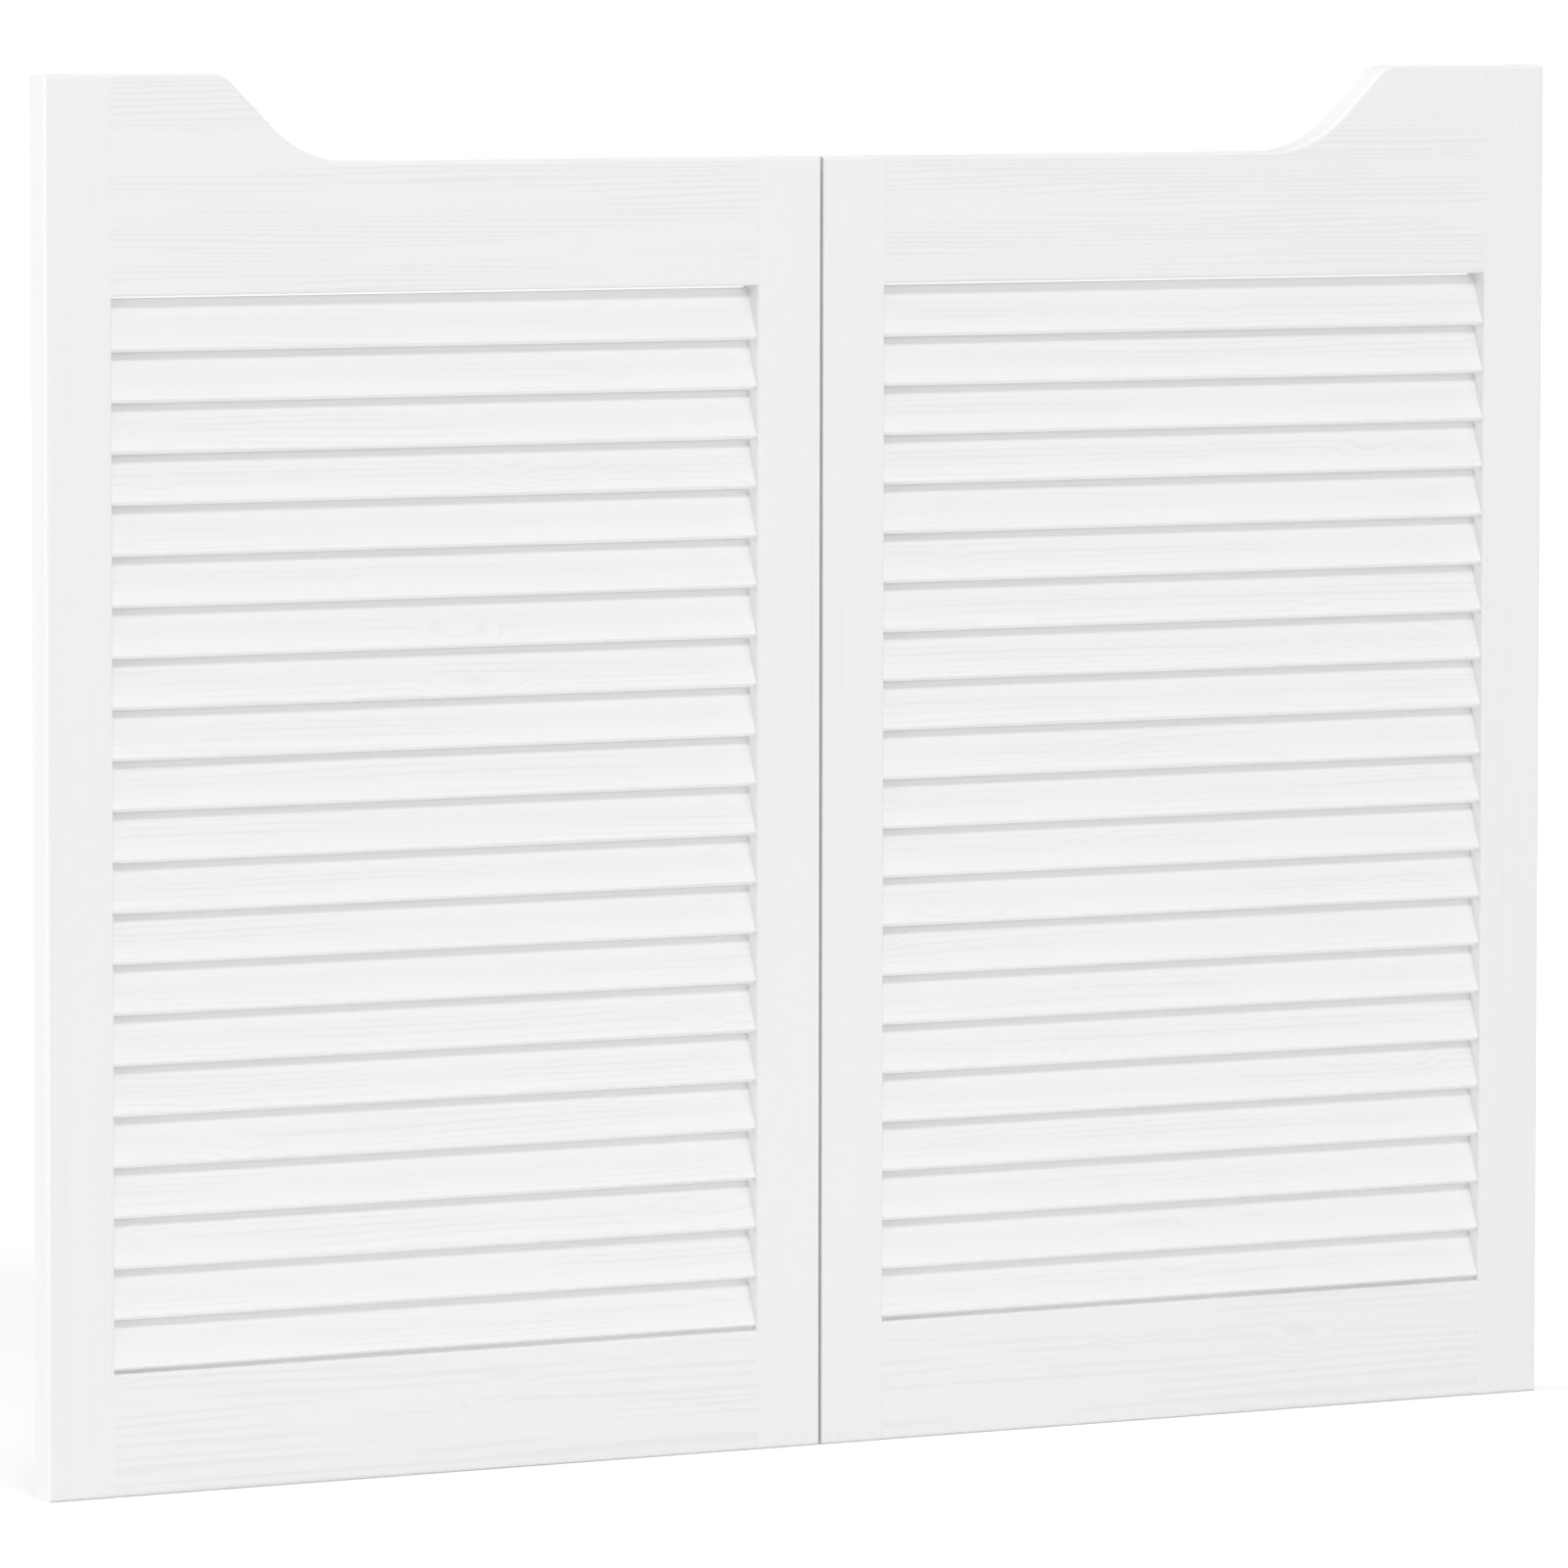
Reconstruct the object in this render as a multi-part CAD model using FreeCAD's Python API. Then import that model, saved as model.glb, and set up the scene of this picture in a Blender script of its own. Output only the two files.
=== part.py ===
"""A pair of louvred cafe doors: two leaves of painted pine that swing both ways on concealed pivots.

Frame: millimetres, +Z up, the front of the doors towards -Y. The origin is half-way across the closed
pair, at mid-thickness, at the level of the leaves' lower edge.
One leaf is built, the left one, and the right leaf is its mirror image. Inside the leaf, u is the distance
from the outer edge, where the pivots are, towards the meeting edge.
"""
import FreeCAD, Part
import math
import os

from FreeCAD import Vector

# ---- leaf ----
leaf_width = 529.0
leaf_height = 850.0
leaf_thickness = 22.0
meeting_gap = 2.0

# ---- frame members: rounded over along the outline and the opening; the rails are set back a little ----
stile_width = 44.0
top_rail_height = 131.5
bottom_rail_height = 74.0
rail_set_back = 0.5
outline_round = 2.5
meeting_round = 0.8
opening_round = 2.0

# ---- ogee of the top rail: a flat crest at the outer side, a straight fall between two arcs, a low flat ----
crest_flat = 113.0
crest_radius = 15.0
trough_radius = 75.0
fall_angle = 44.0
crest_drop = 53.0

# ---- louvre slats with bullnosed edges, tenoned into the stiles; their lower edge leans to the front ----
slat_count = 21
slat_width = 33.5
slat_thickness = 6.0
slat_nose = 1.0
slat_tilt = 22.0
slat_front_inset = 2.0
slat_end_gap = 1.5
slat_tenon_length = 8.0
slat_tenon_shoulder = 2.0

# ---- stub tenons of the rails ----
rail_tenon_thickness = 8.0
rail_tenon_shoulder = 12.0
rail_tenon_to_pocket = 4.0

# ---- room in every mortise: all round the tenon, and past its end ----
mortise_clearance = 0.1
mortise_relief = 0.5

# ---- pivots, let into the two ends of each outer stile ----
pivot_inset = 14.0
pin_diameter = 10.0
pin_length = 36.0
pin_clearance = 0.05
pin_nose_chamfer = 1.0
thread_drill_diameter = 5.0
thread_depth = 14.0
bush_wall = 2.0
bush_length = 34.0
cartridge_diameter = 15.0
cartridge_length = 75.0
seat_clearance = 0.02
pin_end_play = 1.0

# ---- how far a cutting shape runs past the face that it opens, and how close two places count as one ----
cut_past = 1.0
same_place = 1e-6

# ---- worked out from the sizes above ----
outer_edge_x = -(leaf_width + meeting_gap / 2)
outer_joint = stile_width
meeting_joint = leaf_width - stile_width
opening_bottom = bottom_rail_height
opening_top = leaf_height - top_rail_height
low_height = leaf_height - crest_drop
rail_thickness = leaf_thickness - 2 * rail_set_back
largest_round = rail_thickness / 3
tilt = math.radians(slat_tilt)
nose_radius = ((slat_thickness / 2) ** 2 + slat_nose ** 2) / (2 * slat_nose)
slat_core = slat_width - 2 * slat_nose
slat_rise = (slat_width - 2 * nose_radius) * math.cos(tilt) + 2 * nose_radius
slat_pitch = (opening_top - opening_bottom - slat_rise - 2 * slat_end_gap) / (slat_count - 1)
bore_radius = pin_diameter / 2 + pin_clearance
bush_radius = bore_radius + bush_wall
cartridge_radius = cartridge_diameter / 2
rail_tenon_length = stile_width - pivot_inset - cartridge_radius - rail_tenon_to_pocket


def block(u0, u1, z0, z1, thickness=leaf_thickness):
    """A board between two places across the leaf and two heights, in the middle of the leaf's thickness."""
    corner = Vector(outer_edge_x + u0, -thickness / 2, z0)
    return Part.makeBox(u1 - u0, thickness, z1 - z0, corner)


def rounded(solid, radius, chosen):
    """The solid with the edges that `chosen` picks rounded over."""
    edges = [edge for edge in solid.Edges if chosen(edge)]
    return solid.makeFillet(min(radius, largest_round), edges)


def bevelled(solid, size, chosen):
    """The solid with the edges that `chosen` picks taken off at 45 degrees."""
    edges = [edge for edge in solid.Edges if chosen(edge)]
    return solid.makeChamfer(min(size, largest_round), edges)


def near(value, target):
    return abs(value - target) < same_place


def in_a_face(edge):
    """True for an edge of a board's front or back face."""
    return near(edge.BoundBox.YMin, edge.BoundBox.YMax)


def upright_at(edge, x):
    box = edge.BoundBox
    return in_a_face(edge) and near(box.XMin, x) and near(box.XMax, x)


def level_at(edge, z):
    box = edge.BoundBox
    return in_a_face(edge) and near(box.ZMin, z) and near(box.ZMax, z)


# ---- slats ----
def slat_section(number):
    """The ends of a slat's flat middle in the YZ plane, low and high, and its two directions."""
    along = Vector(0, math.sin(tilt), math.cos(tilt))
    across = Vector(0, math.cos(tilt), -math.sin(tilt))
    lowest = opening_bottom + slat_end_gap + (slat_count - number) * slat_pitch
    low_y = -leaf_thickness / 2 + slat_front_inset + slat_thickness / 2 * math.cos(tilt)
    low_z = lowest + nose_radius - (nose_radius - slat_nose) * math.cos(tilt)
    low = Vector(0, low_y, low_z)
    return low, low + along * slat_core, along, across * (slat_thickness / 2)


def swept(sides, u0, u1):
    """A closed outline in the YZ plane swept from one place across the leaf to another."""
    face = Part.Face(Part.Wire([side.toShape() for side in sides]))
    return face.translated(Vector(outer_edge_x + u0, 0, 0)).extrude(Vector(u1 - u0, 0, 0))


def slat_board(number):
    """The visible slat between the stiles, with a shallow bullnose on both long edges."""
    low, high, along, half = slat_section(number)
    sides = [
        Part.LineSegment(low + half, high + half),
        Part.Arc(high + half, high + along * slat_nose, high - half),
        Part.LineSegment(high - half, low - half),
        Part.Arc(low - half, low - along * slat_nose, low + half),
    ]
    return swept(sides, outer_joint, meeting_joint)


def slat_tenons(number, clearance=0.0, relief=0.0):
    """A slat's two tenons as one bar through the leaf, or with room round them its two mortises."""
    low, high, along, half = slat_section(number)
    low = low + along * (slat_tenon_shoulder - clearance)
    high = high - along * (slat_tenon_shoulder - clearance)
    half = half * (1 + clearance / half.Length)
    corners = [low + half, high + half, high - half, low - half]
    sides = [Part.LineSegment(corners[i - 1], corners[i]) for i in range(len(corners))]
    reach = slat_tenon_length + relief
    return swept(sides, outer_joint - reach, meeting_joint + reach)


def slat(number):
    return slat_board(number).fuse(slat_tenons(number)).removeSplitter()


# ---- rail joints ----
bottom_rail_ends = [
    (outer_joint, -1, 0.0, bottom_rail_height),
    (meeting_joint, 1, 0.0, bottom_rail_height),
]
top_rail_ends = [
    (outer_joint, -1, opening_top, leaf_height),
    (meeting_joint, 1, opening_top, low_height),
]


def rail_tenon(joint, into_stile, lowest, highest, clearance=0.0, relief=0.0):
    """The stub tenon at one end of a rail, or with room round it the mortise."""
    root = joint - into_stile * cut_past
    tip = joint + into_stile * (rail_tenon_length + relief)
    shoulder = rail_tenon_shoulder - clearance
    thickness = rail_tenon_thickness + 2 * clearance
    return block(min(root, tip), max(root, tip), lowest + shoulder, highest - shoulder, thickness)


def tenoned(rail, ends):
    return rail.fuse([rail_tenon(*end) for end in ends]).removeSplitter()


def mortises():
    """Every mortise in the leaf's two stiles."""
    room = (mortise_clearance, mortise_relief)
    for_slats = [slat_tenons(number, *room) for number in range(1, slat_count + 1)]
    for_rails = [rail_tenon(*end, *room) for end in bottom_rail_ends + top_rail_ends]
    return for_slats + for_rails


# ---- pivots: each piece is drawn for the lower end, and turned over for the upper end ----
def round_bar(radius, length):
    """A round bar on the pivot axis, from the lower end of the stile upwards."""
    return Part.makeCylinder(radius, length, Vector(outer_edge_x + pivot_inset, 0, 0))


def turned_over(shape):
    """A piece of the lower pivot, turned end for end into the upper end of the stile."""
    turned = shape.copy()
    turned.rotate(Vector(outer_edge_x + pivot_inset, 0, leaf_height / 2), Vector(0, 1, 0), 180)
    return turned


def pivot_pin():
    """A ground pin with a blind threaded hole in its outer end, for the screw of the post's bracket."""
    pin = round_bar(pin_diameter / 2, pin_length)
    nose = [edge for edge in pin.Edges if near(edge.BoundBox.ZMin, pin_length)]
    return pin.makeChamfer(pin_nose_chamfer, nose).cut(round_bar(thread_drill_diameter / 2, thread_depth))


def pivot_pins():
    return Part.makeCompound([pivot_pin(), turned_over(pivot_pin())])


def spring_cartridge():
    """The closed lower cartridge; the end of its bore stands on the pin's nose and carries the leaf."""
    return round_bar(cartridge_radius, cartridge_length).cut(round_bar(bore_radius, pin_length))


def upper_bush():
    return round_bar(bush_radius, bush_length).cut(round_bar(bore_radius, bush_length))


def pockets():
    """The holes in an outer stile's ends for the cartridge and the bush."""
    lower = round_bar(cartridge_radius + seat_clearance, cartridge_length)
    upper = round_bar(bush_radius + seat_clearance, max(bush_length, pin_length + pin_end_play))
    return [lower, turned_over(upper)]


# ---- stiles ----
def stile(u0, u1, height, opening_side, other_side, other_round):
    """A mortised stile; its inner corners are rounded along the opening and bevelled beside the rails."""
    def at_opening(edge):
        return upright_at(edge, outer_edge_x + opening_side)

    def at_other_side(edge):
        return upright_at(edge, outer_edge_x + other_side)

    def at_an_end(edge):
        return level_at(edge, 0) or level_at(edge, height)

    beside_rails = [(0, opening_bottom), (opening_top, height)]
    lengths = [bevelled(block(u0, u1, z0, z1), rail_set_back, at_opening) for z0, z1 in beside_rails]
    lengths.append(rounded(block(u0, u1, opening_bottom, opening_top), opening_round, at_opening))
    upright = lengths[0].fuse(lengths[1:]).removeSplitter()
    upright = rounded(upright, other_round, at_other_side)
    level = rounded(block(u0, u1, 0, height), outline_round, at_an_end)
    return upright.common(level).cut(mortises())


def outer_stile():
    return stile(0, outer_joint, leaf_height, outer_joint, 0, outline_round).cut(pockets())


def meeting_stile():
    return stile(meeting_joint, leaf_width, low_height, meeting_joint, leaf_width, meeting_round)


# ---- rails ----
def top_rail_face():
    """The outline of the top rail in the front plane, with its ogee."""
    fall = math.radians(fall_angle)
    straight = crest_drop - (crest_radius + trough_radius) * (1 - math.cos(fall))
    run = straight / math.tan(fall)

    def point(u, z):
        return Vector(outer_edge_x + u, -rail_thickness / 2, z)

    def on_arc(centre_u, centre_z, radius, angle):
        return point(centre_u + radius * math.sin(angle), centre_z + radius * math.cos(angle))

    crest_z = leaf_height - crest_radius
    trough_u = crest_flat + (crest_radius + trough_radius) * math.sin(fall) + run
    trough_z = low_height + trough_radius
    crest_start = point(crest_flat, leaf_height)
    crest_middle = on_arc(crest_flat, crest_z, crest_radius, fall / 2)
    fall_start = on_arc(crest_flat, crest_z, crest_radius, fall)
    fall_end = on_arc(trough_u, trough_z, -trough_radius, fall)
    trough_middle = on_arc(trough_u, trough_z, -trough_radius, fall / 2)
    trough_end = point(trough_u, low_height)
    sides = [
        Part.LineSegment(point(outer_joint, opening_top), point(outer_joint, leaf_height)),
        Part.LineSegment(point(outer_joint, leaf_height), crest_start),
        Part.Arc(crest_start, crest_middle, fall_start),
        Part.LineSegment(fall_start, fall_end),
        Part.Arc(fall_end, trough_middle, trough_end),
        Part.LineSegment(trough_end, point(meeting_joint, low_height)),
        Part.LineSegment(point(meeting_joint, low_height), point(meeting_joint, opening_top)),
        Part.LineSegment(point(meeting_joint, opening_top), point(outer_joint, opening_top)),
    ]
    return Part.Face(Part.Wire([side.toShape() for side in sides]))


def top_rail():
    rail = top_rail_face().extrude(Vector(0, rail_thickness, 0))
    upright = (outer_edge_x + outer_joint, outer_edge_x + meeting_joint)

    def along_the_top(edge):
        is_end = upright_at(edge, upright[0]) or upright_at(edge, upright[1])
        return in_a_face(edge) and not is_end and not level_at(edge, opening_top)

    rail = rounded(rail, outline_round, along_the_top)
    rail = rounded(rail, opening_round, lambda edge: level_at(edge, opening_top))
    return tenoned(rail, top_rail_ends)


def bottom_rail():
    rail = block(outer_joint, meeting_joint, 0, bottom_rail_height, rail_thickness)
    rail = rounded(rail, outline_round, lambda edge: level_at(edge, 0))
    rail = rounded(rail, opening_round, lambda edge: level_at(edge, opening_bottom))
    return tenoned(rail, bottom_rail_ends)


# ---- the pair ----
def leaf_pieces():
    """Every piece of the left leaf and its two pins, by name."""
    pieces = {
        "outer_stile": outer_stile(),
        "meeting_stile": meeting_stile(),
        "top_rail": top_rail(),
        "bottom_rail": bottom_rail(),
        "pivot_pins": pivot_pins(),
        "spring_cartridge": spring_cartridge(),
        "upper_bush": turned_over(upper_bush()),
    }
    for number in range(1, slat_count + 1):
        pieces["slat_%02d" % number] = slat(number)
    return pieces


def main():
    os.makedirs("parts", exist_ok=True)
    for name, shape in leaf_pieces().items():
        shape.exportStep("parts/left_%s.step" % name)
        mirrored = shape.mirror(Vector(0, 0, 0), Vector(1, 0, 0))
        mirrored.exportStep("parts/right_%s.step" % name)


main()
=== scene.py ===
"""A pair of louvred cafe doors in white paint, standing on a pale studio floor."""
import math

import bmesh
import bpy
from mathutils import Matrix, Vector


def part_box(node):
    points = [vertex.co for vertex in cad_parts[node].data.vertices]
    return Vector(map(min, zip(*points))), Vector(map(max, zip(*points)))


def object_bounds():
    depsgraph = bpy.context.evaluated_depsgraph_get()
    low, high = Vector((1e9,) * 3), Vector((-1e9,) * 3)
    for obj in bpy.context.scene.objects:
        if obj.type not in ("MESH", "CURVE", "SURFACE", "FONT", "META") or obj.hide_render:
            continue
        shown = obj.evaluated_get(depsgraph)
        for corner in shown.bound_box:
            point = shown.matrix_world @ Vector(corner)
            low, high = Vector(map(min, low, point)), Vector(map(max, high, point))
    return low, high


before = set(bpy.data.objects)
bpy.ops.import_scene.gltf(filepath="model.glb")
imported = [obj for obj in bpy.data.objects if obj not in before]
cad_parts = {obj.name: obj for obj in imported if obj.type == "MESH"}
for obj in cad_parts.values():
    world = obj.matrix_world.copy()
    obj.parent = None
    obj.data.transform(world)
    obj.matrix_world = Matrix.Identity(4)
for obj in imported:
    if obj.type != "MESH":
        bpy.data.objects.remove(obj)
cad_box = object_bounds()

mm = 0.001

# ---- sizes read from the doors themselves ----
slat_count = sum(name.startswith("left_slat_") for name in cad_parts)
lowest_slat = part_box("left_slat_%02d" % slat_count)[0].z
highest_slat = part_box("left_slat_01")[0].z
slat_pitch = (highest_slat - lowest_slat) / (slat_count - 1)


# ---- helpers for materials ----
def linear(colour):
    """An sRGB hex colour as the linear colour that a shader takes."""
    parts = [int(colour[i:i + 2], 16) / 255 for i in (1, 3, 5)]
    light = [c / 12.92 if c <= 0.04045 else ((c + 0.055) / 1.055) ** 2.4 for c in parts]
    return (*light, 1.0)


def add(tree, kind, settings=None, sockets=None):
    """A node with its settings; each socket takes a value, another node's output, or a node for its first."""
    node = tree.nodes.new("ShaderNode" + kind)
    for name, value in (settings or {}).items():
        setattr(node, name, value)
    for name, value in (sockets or {}).items():
        if isinstance(value, bpy.types.Node):
            value = value.outputs[0]
        if isinstance(value, bpy.types.NodeSocket):
            tree.links.new(value, node.inputs[name])
        else:
            node.inputs[name].default_value = value
    return node


def new_material(name):
    """An empty material with its output; returns the material, its tree and its output's socket."""
    material = bpy.data.materials.new(name)
    material.use_nodes = True
    tree = material.node_tree
    tree.nodes.clear()
    return material, tree, add(tree, "OutputMaterial").inputs["Surface"]


def blots(tree, place, lengths, detail, start=(0.0, 0.0, 0.0)):
    """Soft blots that measure the given lengths along the axes; `start` sets one pattern off another."""
    scale = tuple(1 / length for length in lengths)
    spot = add(tree, "Mapping", None, {"Vector": place, "Location": start, "Scale": scale})
    return add(tree, "TexNoise", None, {"Vector": spot, "Scale": 1.0, "Detail": detail})


# ---- painted pine: flat-sawn boards whose rings and fibres show as faint relief under satin paint ----
# lengths are along the grain, across the board and into it
wander_lengths = (0.42, 0.022, 0.022)
ring_wander = 17 * mm
arch_lengths = (0.085, 0.035, 0.035)
arch_from, arch_full = 0.66, 0.86
bundle_lengths = (0.24, 0.020, 0.03)
bundle_from, bundle_full = 0.42, 0.62
fibre_lengths = (0.030, 0.0009, 0.0009)
fibre_strength = 0.25
# across one ring: plain earlywood, then a thin latewood line that ends sharply
ring_profile = [(0.0, 0.0), (0.55, 0.05), (0.85, 1.0), (1.0, 0.0)]
ring_relief = 0.035 * mm
paint_roughness, hollow_roughness = 0.40, 0.52
# the plain paint, and the hollows a little darker: painted shade in them, with a little dirt
frame_paint_and_hollow_shade = ("#F1F1F1", "#ECECEC")
# the slats' paint is lighter than the frame's as painted light; the real slats wear the frame's paint
slat_paint_lightened_and_hollow_shade = ("#F6F6F6", "#F1F1F1")


def place_in_trunk(tree, order, pieces_pitch):
    """Where a point lies along the grain, across the board and into it; `order` names the axes for the three.

    Pieces that follow each other upwards at `pieces_pitch` are each cut from another part of the trunk.
    """
    axes = add(tree, "SeparateXYZ", None, {0: add(tree, "TexCoord").outputs["Object"]})
    place = add(tree, "CombineXYZ", None, {i: axes.outputs[axis] for i, axis in enumerate(order)})
    if not pieces_pitch:
        return place
    height = add(tree, "Math", {"operation": "SUBTRACT"}, {0: axes.outputs["Z"], 1: lowest_slat})
    number = add(tree, "Math", {"operation": "DIVIDE"}, {0: height, 1: pieces_pitch})
    number = add(tree, "Math", {"operation": "FLOOR"}, {0: number})
    cut_from = add(tree, "TexWhiteNoise", {"noise_dimensions": "1D"}, {"W": number}).outputs["Color"]
    return add(tree, "VectorMath", {"operation": "ADD"}, {0: place, 1: cut_from})


def painted_pine(name, order, paint, ring_spacing, ring_strength, arch_height=0.0, pieces_pitch=None):
    """White paint over pine, whose growth rings have sunk a little.

    Seen close, thin latewood lines run along each board in uneven bundles with plain paint between them; here
    and there one rises into a low arch.
    """
    material, tree, surface = new_material(name)
    place = place_in_trunk(tree, order, pieces_pitch)

    # rings: counted across the board, from a line that wanders and that an arch lifts
    across = add(tree, "SeparateXYZ", None, {0: place}).outputs["Y"]
    wander = blots(tree, place, wander_lengths, 1.0)
    grown = add(tree, "Math", {"operation": "MULTIPLY_ADD"}, {0: wander, 1: ring_wander, 2: across})
    if arch_height:
        arch = blots(tree, place, arch_lengths, 0.0, (5.3, 2.9, 8.1))
        lift = add(tree, "MapRange", None, {
            "Value": arch, "From Min": arch_from, "From Max": arch_full, "To Max": arch_height})
        grown = add(tree, "Math", {"operation": "ADD"}, {0: grown, 1: lift})
    rings = add(tree, "Math", {"operation": "DIVIDE"}, {0: grown, 1: ring_spacing})
    phase = add(tree, "Math", {"operation": "FRACT"}, {0: rings})
    line = add(tree, "ValToRGB", None, {"Fac": phase})
    stops = line.color_ramp.elements
    while len(stops) < len(ring_profile):
        stops.new(1.0)
    for stop, (position, level) in zip(stops, ring_profile):
        stop.position = position
        stop.color = (level, level, level, 1.0)

    # bundles: the lines show only in some stretches
    bundle = blots(tree, place, bundle_lengths, 1.0, (3.1, 7.7, 1.9))
    shown = add(tree, "MapRange", None, {
        "Value": bundle, "From Min": bundle_from, "From Max": bundle_full, "To Max": ring_strength})
    line = add(tree, "Math", {"operation": "MULTIPLY"}, {0: line, 1: shown})

    # how far the wood has sunk sets gloss and relief; its darker tone is painted shade and a little dirt
    fibre = blots(tree, place, fibre_lengths, 2.0)
    hollow = add(tree, "Math", {"operation": "MULTIPLY_ADD"}, {0: fibre, 1: fibre_strength, 2: line})
    tone = add(tree, "Mix", {"data_type": "RGBA"}, {
        "Factor": hollow, 6: linear(paint[0]), 7: linear(paint[1])})
    gloss = add(tree, "MapRange", None, {
        "Value": hollow, "To Min": paint_roughness, "To Max": hollow_roughness})
    height = add(tree, "Math", {"operation": "SUBTRACT"}, {0: 1.0, 1: hollow})
    relief = add(tree, "Bump", None, {"Height": height, "Strength": 1.0, "Distance": ring_relief})
    sockets = {"Base Color": tone.outputs[2], "Roughness": gloss, "IOR": 1.5, "Normal": relief}
    tree.links.new(add(tree, "BsdfPrincipled", None, sockets).outputs[0], surface)
    return material


# ---- metal and plastic ----
mark_low, mark_high = 0.3, 0.7


def worked_finish(name, colours, metallic, roughness, mark_lengths, mark_depth):
    """A surface whose marks of working change its colour, gloss and relief a little."""
    material, tree, surface = new_material(name)
    marks = blots(tree, add(tree, "TexCoord").outputs["Object"], mark_lengths, 3.0)
    tone = add(tree, "Mix", {"data_type": "RGBA"}, {
        "Factor": marks, 6: linear(colours[0]), 7: linear(colours[1])})
    gloss = add(tree, "MapRange", None, {
        "Value": marks, "From Min": mark_low, "From Max": mark_high,
        "To Min": roughness[0], "To Max": roughness[1]})
    relief = add(tree, "Bump", None, {"Height": marks, "Strength": 1.0, "Distance": mark_depth})
    sockets = {"Base Color": tone.outputs[2], "Metallic": metallic, "Roughness": gloss, "Normal": relief}
    tree.links.new(add(tree, "BsdfPrincipled", None, sockets).outputs[0], surface)
    return material


# ---- which piece is made of what ----
# the top rails show close, straight rings, and the bottom rails wider ones with an arch here and there
pine_top_rails = painted_pine("painted_pine_top_rails", "XZY", frame_paint_and_hollow_shade, 3.3 * mm, 2.6)
pine_bottom_rails = painted_pine("painted_pine_bottom_rails", "XZY", frame_paint_and_hollow_shade, 6.5 * mm, 2.5, 14 * mm)
# the stiles look almost plain
pine_stiles = painted_pine("painted_pine_stiles", "ZXY", frame_paint_and_hollow_shade, 4.2 * mm, 0.45)
# some slats are plain, some finely lined, and a few have an arch
# their lighter paint is painted light on the slats' faces
pine_slats = painted_pine("painted_pine_slats", "XZY", slat_paint_lightened_and_hollow_shade, 4.6 * mm, 1.4, 10 * mm, slat_pitch)
# fine rings from cylindrical grinding run round the pins
ground_steel = worked_finish(
    "ground_steel", ("#BDBEC0", "#A3A4A6"), 1.0, (0.22, 0.36), (0.012, 0.012, 0.00008), 0.002 * mm)
# bright zinc has a soft, slightly mottled sheen
zinc_plate = worked_finish(
    "zinc_plated_steel", ("#CBCDCF", "#B6B9BC"), 1.0, (0.32, 0.48), (0.003, 0.003, 0.005), 0.004 * mm)
# moulded nylon is off-white with a fine dull grain from the tool
nylon = worked_finish(
    "moulded_nylon", ("#E9E6DB", "#DFDBCE"), 0.0, (0.42, 0.55), (0.0005, 0.0005, 0.0005), 0.01 * mm)

finishes = {
    "outer_stile": pine_stiles,
    "meeting_stile": pine_stiles,
    "top_rail": pine_top_rails,
    "bottom_rail": pine_bottom_rails,
    "slat": pine_slats,
    "pivot_pins": ground_steel,
    "spring_cartridge": zinc_plate,
    "upper_bush": nylon,
}
for name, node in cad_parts.items():
    kind = name.partition("_")[2].rstrip("_0123456789")
    node.data.materials.clear()
    node.data.materials.append(finishes[kind])

# ---- floor and world: pale and plain, and white where the camera or a reflection sees them ----
white = (1.0, 1.0, 1.0, 1.0)
floor_half_width = 15.0
floor_colour = "#F8F8F8"
near, far = 1.0, 6.0
near_glow, far_glow = 0.21, 0.55
ambient = 0.45


def seen_directly(tree):
    """1 for rays from the camera and for reflections, 0 for the light that falls on the doors."""
    path = add(tree, "LightPath").outputs
    seen = add(tree, "Math", {"operation": "MAXIMUM"}, {0: path["Is Camera Ray"], 1: path["Is Glossy Ray"]})
    return add(tree, "Math", {"operation": "MAXIMUM"}, {0: seen, 1: path["Is Transmission Ray"]})


def pale_floor():
    """A matt floor, with a glow that only the camera and reflections see.

    It glows less near the doors, where more lamplight falls on it, so that their shadow stays on it.
    """
    material, tree, surface = new_material("studio_floor")
    lit = add(tree, "BsdfDiffuse", None, {"Color": linear(floor_colour)})
    place = add(tree, "TexCoord").outputs["Object"]
    reach = add(tree, "VectorMath", {"operation": "LENGTH"}, {0: place}).outputs["Value"]
    level = add(tree, "MapRange", None, {
        "Value": reach, "From Min": near, "From Max": far, "To Min": near_glow, "To Max": far_glow})
    glow = add(tree, "Emission", None, {"Color": white, "Strength": level})
    bright = add(tree, "AddShader", None, {0: lit, 1: glow})
    shown = add(tree, "MixShader", None, {0: seen_directly(tree), 1: lit, 2: bright})
    tree.links.new(shown.outputs[0], surface)
    return material


def lay_floor():
    """A level sheet at the doors' foot."""
    mesh = bpy.data.meshes.new("floor")
    floor = bpy.data.objects.new("floor", mesh)
    bpy.context.scene.collection.objects.link(floor)
    sheet = bmesh.new()
    bmesh.ops.create_grid(sheet, x_segments=1, y_segments=1, size=floor_half_width)
    bmesh.ops.translate(sheet, verts=sheet.verts, vec=(0, 0, cad_box[0].z))
    sheet.to_mesh(mesh)
    sheet.free()
    mesh.materials.append(pale_floor())


def surround():
    """White to the camera and to reflections, and a dimmer light on the doors from all sides."""
    world = bpy.data.worlds.new("studio")
    bpy.context.scene.world = world
    world.use_nodes = True
    tree = world.node_tree
    tree.nodes.clear()
    strength = add(tree, "Mix", {"data_type": "FLOAT"}, {0: seen_directly(tree), 2: ambient, 3: 1.0})
    back = add(tree, "Background", None, {"Color": white, "Strength": strength})
    tree.links.new(back.outputs[0], add(tree, "OutputWorld").inputs["Surface"])


lay_floor()
surround()

# ---- lamps and camera, all turned to one point near the middle of the doors ----
look_at = Vector((-20.17, 0, 410.6)) * mm


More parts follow.
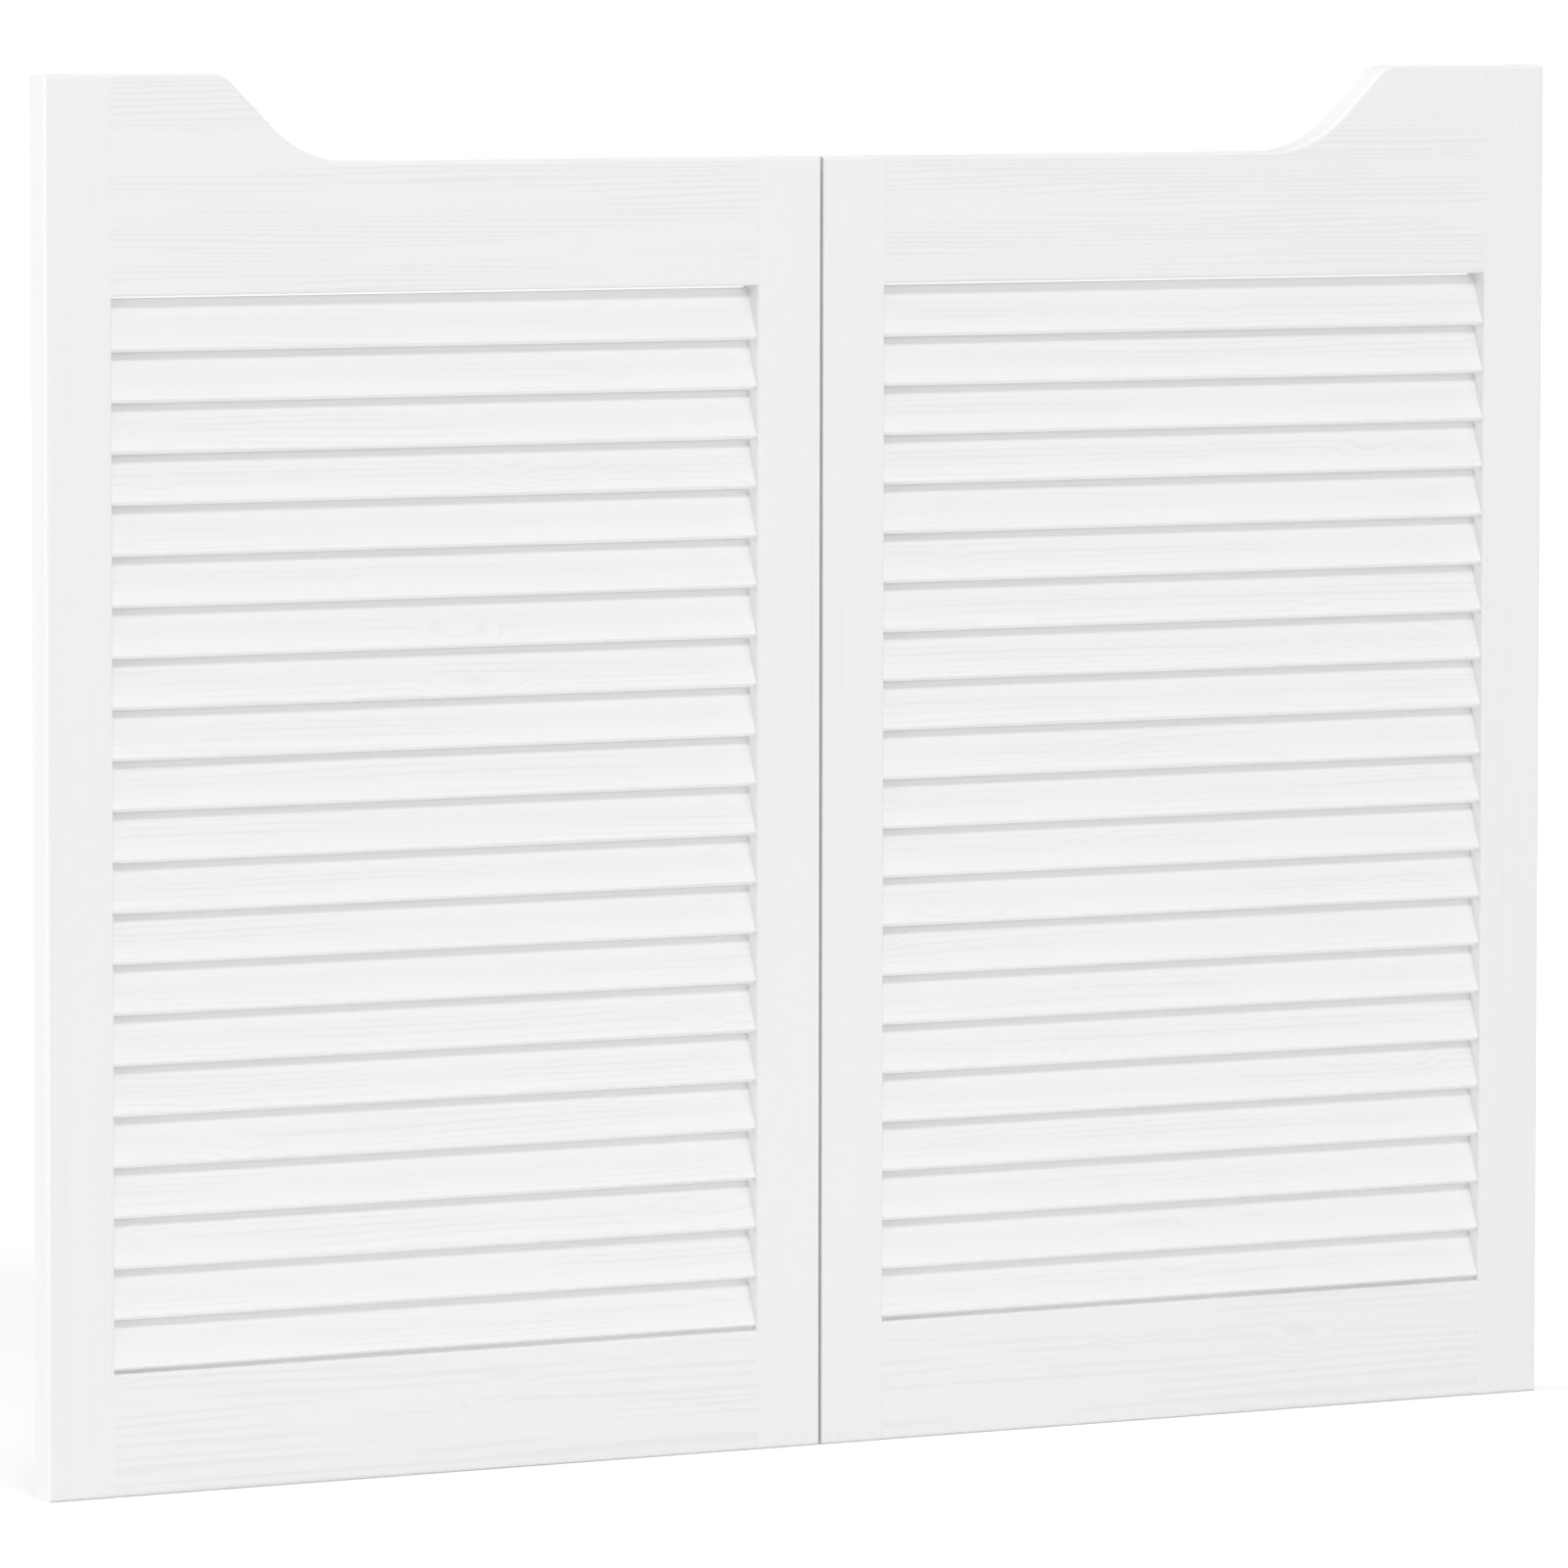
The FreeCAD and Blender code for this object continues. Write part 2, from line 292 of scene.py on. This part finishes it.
def from_direction(azimuth, elevation, distance):
    """A place round the doors; azimuth 0 is in front of them, and positive is to their right."""
    a, e = math.radians(azimuth), math.radians(elevation)
    return look_at + distance * Vector((math.sin(a) * math.cos(e), -math.cos(a) * math.cos(e), math.sin(e)))


def facing_doors(place):
    """The turn that points a lamp or a camera at the doors."""
    return (look_at - place).to_track_quat("-Z", "Y").to_matrix()


def soft_lamp(name, azimuth, elevation, distance, width, height, power):
    """A large oval lamp; angles in degrees, sizes in metres, power in watts."""
    lamp = bpy.data.lights.new(name, "AREA")
    lamp.shape = "ELLIPSE"
    lamp.size = width
    lamp.size_y = height
    lamp.energy = power
    holder = bpy.data.objects.new(name, lamp)
    holder.location = from_direction(azimuth, elevation, distance)
    holder.rotation_euler = facing_doors(holder.location).to_euler()
    bpy.context.scene.collection.objects.link(holder)


def place_camera(azimuth, elevation, distance, lens, roll):
    """The camera; its lens in millimetres on a 36 mm sensor, and its roll in degrees."""
    data = bpy.data.cameras.new("camera")
    data.sensor_width = 36.0
    data.lens = lens
    data.clip_end = 100.0
    camera = bpy.data.objects.new("camera", data)
    camera.location = from_direction(azimuth, elevation, distance)
    rolled = facing_doors(camera.location) @ Matrix.Rotation(math.radians(roll), 3, "Z")
    camera.rotation_euler = rolled.to_euler()
    bpy.context.scene.collection.objects.link(camera)
    bpy.context.scene.camera = camera


# the key gives each slat the soft-edged shadow of the one above, and the front fill keeps that shadow pale
soft_lamp("key", azimuth=-21, elevation=36, distance=22.0, width=12.6, height=3.0, power=1190)
soft_lamp("front_fill", azimuth=17, elevation=11, distance=22.0, width=15.7, height=3.8, power=630)
# the left fill and the overhead lamp brighten the doors' outer edges
soft_lamp("left_fill", azimuth=-104, elevation=10, distance=14.0, width=8.4, height=7.0, power=705)
soft_lamp("overhead", azimuth=0, elevation=88, distance=7.0, width=4.0, height=4.0, power=124)
place_camera(azimuth=-29.718, elevation=4.413, distance=7.010, lens=260.98, roll=0.08)
bpy.context.scene.view_settings.view_transform = "Standard"
